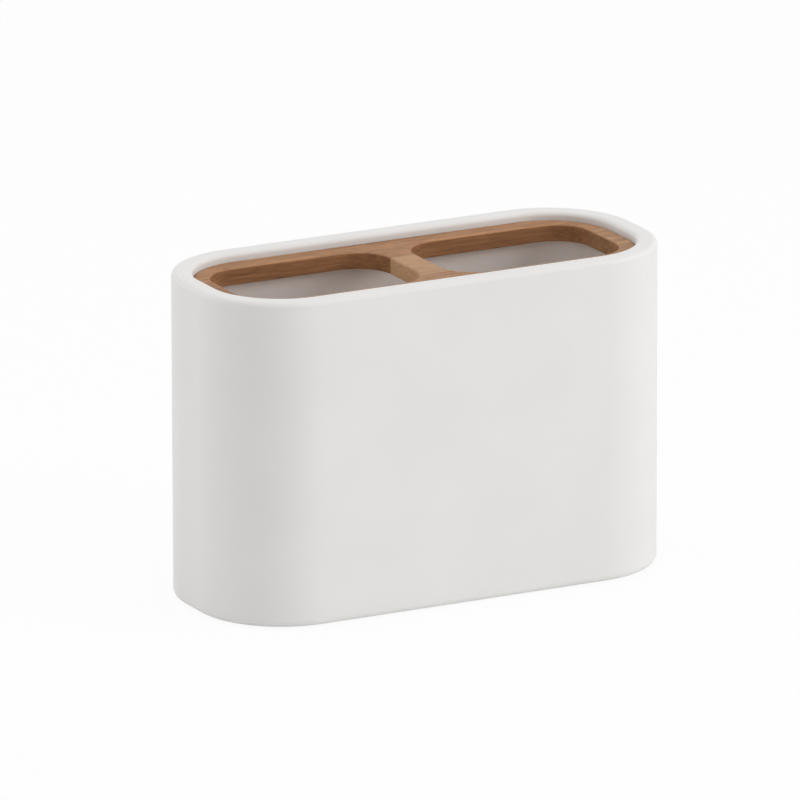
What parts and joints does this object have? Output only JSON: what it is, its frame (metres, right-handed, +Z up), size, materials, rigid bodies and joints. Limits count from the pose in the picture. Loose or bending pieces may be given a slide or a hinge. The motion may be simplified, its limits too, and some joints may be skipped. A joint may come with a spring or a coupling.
{
  "type": "toothbrush holder",
  "caption": "Free-standing rectangular cup with large round corners and a stepped mouth, holding a lift-out wooden insert whose openings keep toothbrushes and toothpaste upright.",
  "frame": {"origin": "on the supporting surface, under the centre of the cup", "axes": "+X along the long side to the right, +Y to the rear, +Z up"},
  "size_m": [0.128, 0.056, 0.085],
  "materials": {
    "cast_resin": "matte",
    "brown_wood": "satin",
    "tan_wood": "satin",
    "pad_rubber": "matte"
  },
  "bodies": {
    "holder": {"cup": "cast_resin", "foot_front_left": "pad_rubber", "foot_front_right": "pad_rubber", "foot_rear_left": "pad_rubber", "foot_rear_right": "pad_rubber"},
    "insert": {"rear_stave": "brown_wood", "front_stave": "brown_wood", "bridge_stave": "tan_wood", "left_end_stave": "brown_wood", "right_end_stave": "brown_wood"}
  },
  "joints": [
    {"name": "insert_lift", "type": "slide", "parent": "holder", "child": "insert", "axis": [0, 0, 1], "range_m": [0, 0.03]}
  ]
}
